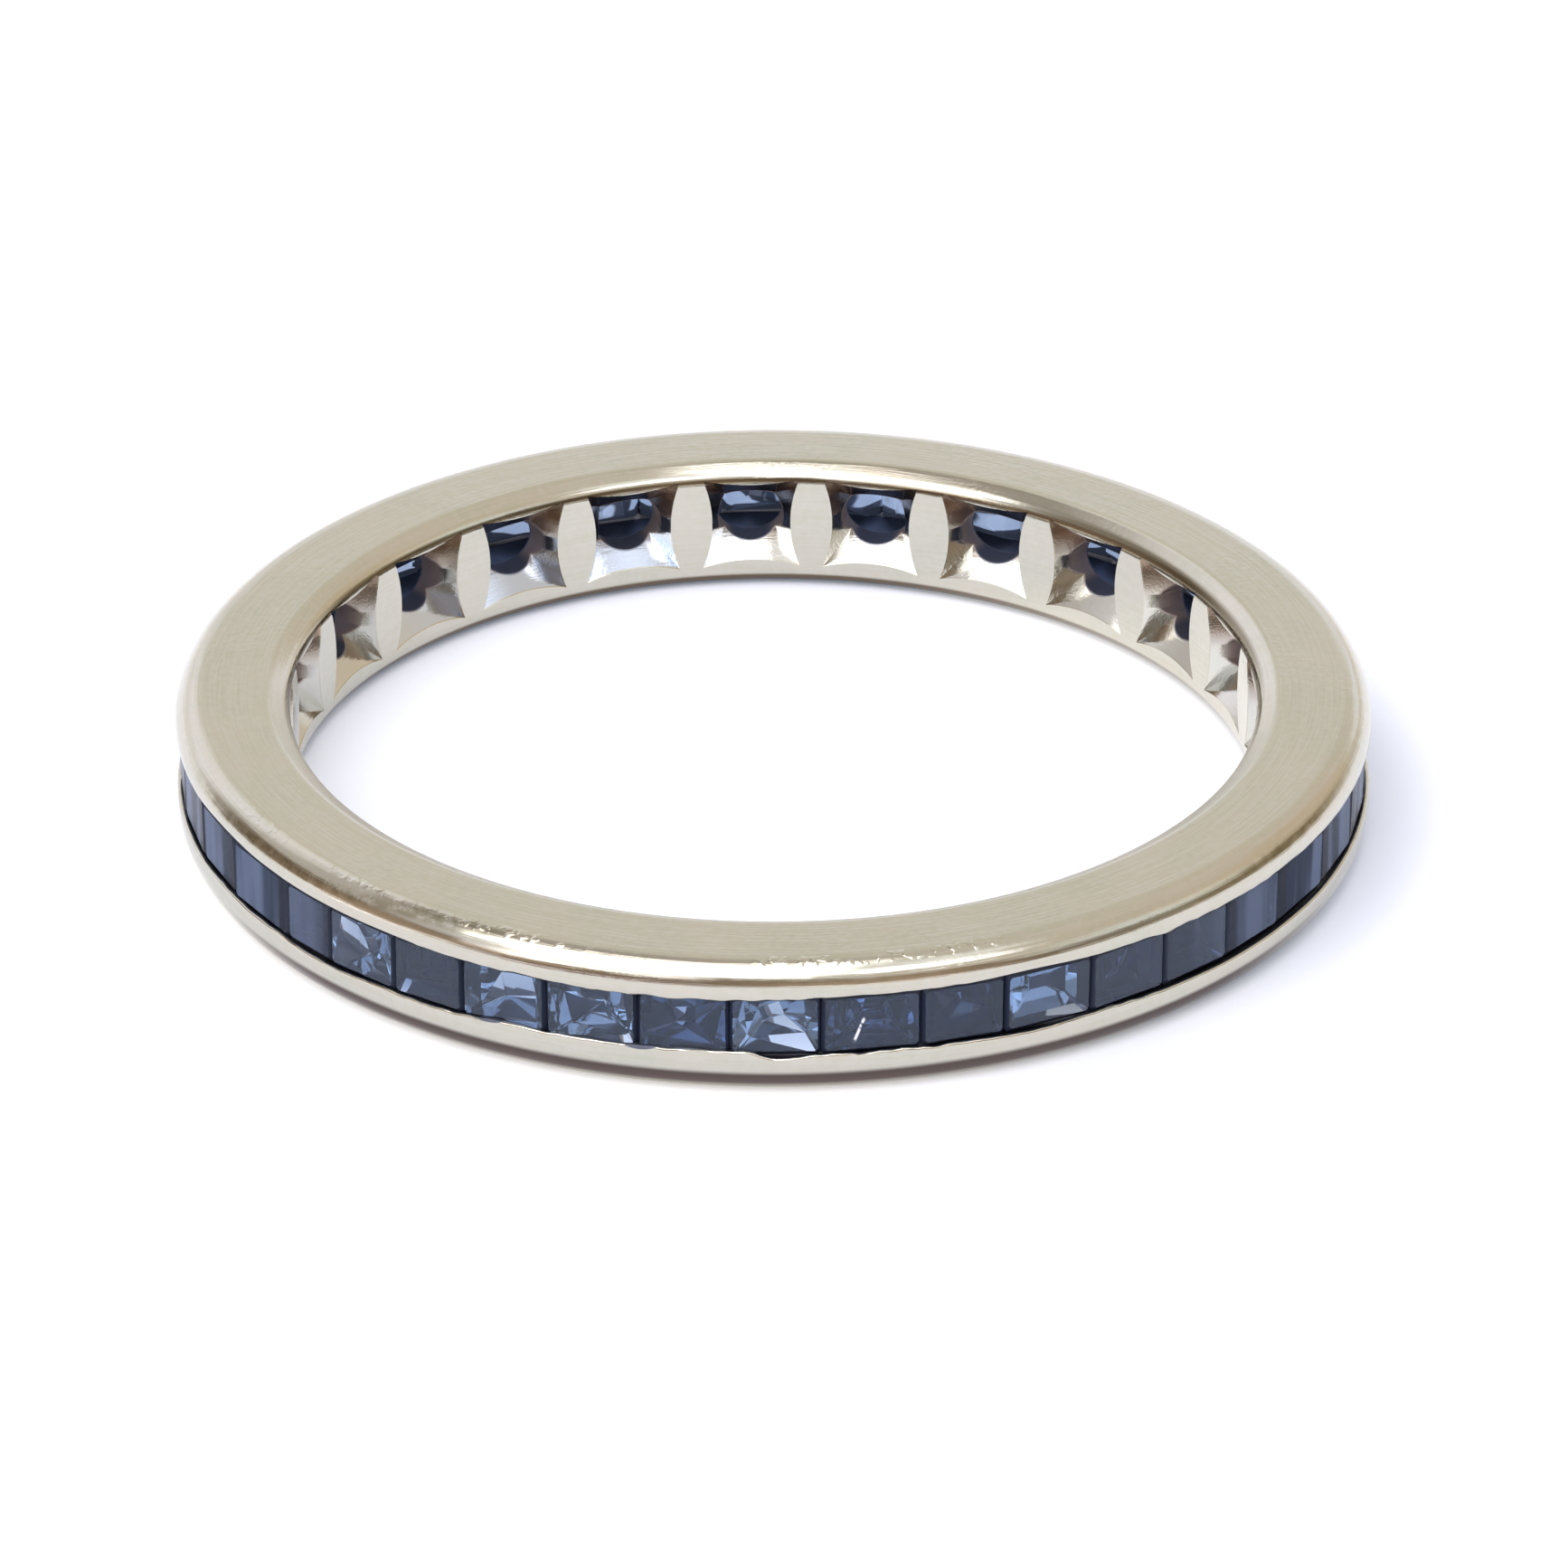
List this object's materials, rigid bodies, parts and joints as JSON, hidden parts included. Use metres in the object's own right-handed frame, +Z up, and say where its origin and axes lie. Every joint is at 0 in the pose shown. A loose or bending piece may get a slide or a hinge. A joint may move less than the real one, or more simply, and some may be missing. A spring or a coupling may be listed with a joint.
{
  "type": "eternity ring",
  "caption": "Full eternity ring: a white gold channel band set all round with square cut sapphires, the inner wall pierced with flared windows.",
  "frame": {"origin": "on the ring's axis, in the plane of the side that it lies on", "axes": "+Z up along the finger hole's axis, away from the side that the ring lies on; -Y towards the picture's front of the ring"},
  "size_m": [0.0208, 0.0208, 0.0024],
  "materials": {
    "white_gold": "satin",
    "sapphire": "polished"
  },
  "bodies": {
    "root": {"band": "white_gold", "stone_01": "sapphire", "stone_02": "sapphire", "stone_03": "sapphire", "stone_04": "sapphire", "stone_05": "sapphire", "stone_06": "sapphire", "stone_07": "sapphire", "stone_08": "sapphire", "stone_09": "sapphire", "stone_10": "sapphire", "stone_11": "sapphire", "stone_12": "sapphire", "stone_13": "sapphire", "stone_14": "sapphire", "stone_15": "sapphire", "stone_16": "sapphire", "stone_17": "sapphire", "stone_18": "sapphire", "stone_19": "sapphire", "stone_20": "sapphire", "stone_21": "sapphire", "stone_22": "sapphire", "stone_23": "sapphire", "stone_24": "sapphire", "stone_25": "sapphire", "stone_26": "sapphire", "stone_27": "sapphire", "stone_28": "sapphire", "stone_29": "sapphire", "stone_30": "sapphire", "stone_31": "sapphire", "stone_32": "sapphire", "stone_33": "sapphire", "stone_34": "sapphire", "stone_35": "sapphire", "stone_36": "sapphire", "stone_37": "sapphire", "stone_38": "sapphire", "stone_39": "sapphire", "stone_40": "sapphire", "stone_41": "sapphire", "stone_42": "sapphire"}
  },
  "joints": []
}
